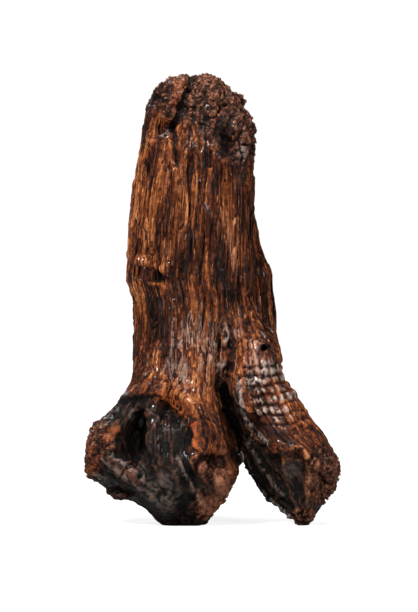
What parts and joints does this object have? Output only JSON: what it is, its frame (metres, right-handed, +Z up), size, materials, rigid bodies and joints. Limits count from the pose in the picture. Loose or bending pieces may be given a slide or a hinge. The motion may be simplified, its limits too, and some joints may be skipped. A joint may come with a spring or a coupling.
{
  "type": "mangrove driftwood stump",
  "caption": "Upright piece of weathered mangrove wood with a furrowed trunk, a rotten top and broken roots that it stands on; a natural ornament or aquarium hardscape.",
  "frame": {"origin": "on the floor, under the middle of the piece's box", "axes": "+Z up along the trunk, the front with the bored hole faces -Y"},
  "size_m": [0.1698, 0.1238, 0.2995],
  "materials": {
    "driftwood": "dark brown weathered wood, damp and half glossy, with orange tan fibres and charred broken ends"
  },
  "bodies": {
    "root": {"driftwood": "driftwood"}
  },
  "joints": []
}
